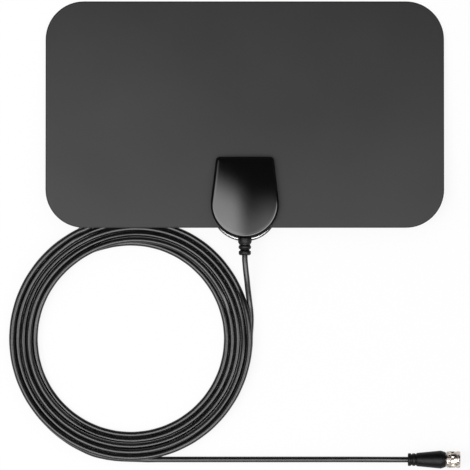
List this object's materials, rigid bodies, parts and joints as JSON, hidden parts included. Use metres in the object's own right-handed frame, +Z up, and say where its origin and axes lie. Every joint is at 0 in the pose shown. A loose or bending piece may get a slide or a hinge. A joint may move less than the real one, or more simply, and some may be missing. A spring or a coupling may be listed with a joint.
{
  "type": "indoor tv antenna",
  "caption": "Flat film TV antenna with a glossy junction box on its lower edge, a ribbed strain relief and a thin black coax lead wound in a flat coil with a screw-on plug.",
  "frame": {"origin": "middle of the underside of the resting antenna (sheet, box and strain relief), on the table", "axes": "+X along the width of the sheet, +Y from the lead towards the far edge of the sheet, +Z up"},
  "size_m": [0.2943, 0.3049, 0.0153],
  "materials": {
    "sheet_film": "satin dark grey film",
    "foil": "bright foil",
    "gloss_cover": "glossy black",
    "back_cover": "black",
    "screw_steel": "plain steel",
    "board": "green lacquer",
    "ferrite": "dull grey",
    "rivet_brass": "plain brass",
    "cable_jacket": "shiny black jacket",
    "screen_wire": "tinned wires",
    "copper_wire": "bare copper",
    "grommet": "fine grained black",
    "plug_moulding": "satin black moulding",
    "nickel_plate": "warm nickel plate",
    "insulator": "milky white"
  },
  "bodies": {
    "antenna": {"front_film": "sheet_film", "back_film": "sheet_film", "left_element": "foil", "right_element": "foil", "front_cover": "gloss_cover", "back_cover": "back_cover", "cover_screws": "screw_steel", "matching_board": "board", "ferrite_core": "ferrite", "feed_rivets": "rivet_brass", "cable_end": "cable_jacket", "shield_tail": "screen_wire", "core_wire": "copper_wire", "strain_relief": "grommet", "cable_lead": "cable_jacket", "cable_coil": "cable_jacket", "cable_loop": "cable_jacket", "cable_tail": "cable_jacket", "plug_grip": "plug_moulding", "plug_post": "nickel_plate", "plug_insulator": "insulator", "centre_pin": "copper_wire"},
    "nut": {"coupling_nut": "nickel_plate"}
  },
  "joints": [
    {"name": "nut_spin", "type": "hinge", "parent": "antenna", "child": "nut", "pos_m": [0.136, -0.21625, 0.0059], "axis": [1, 0, 0], "continuous": true}
  ]
}
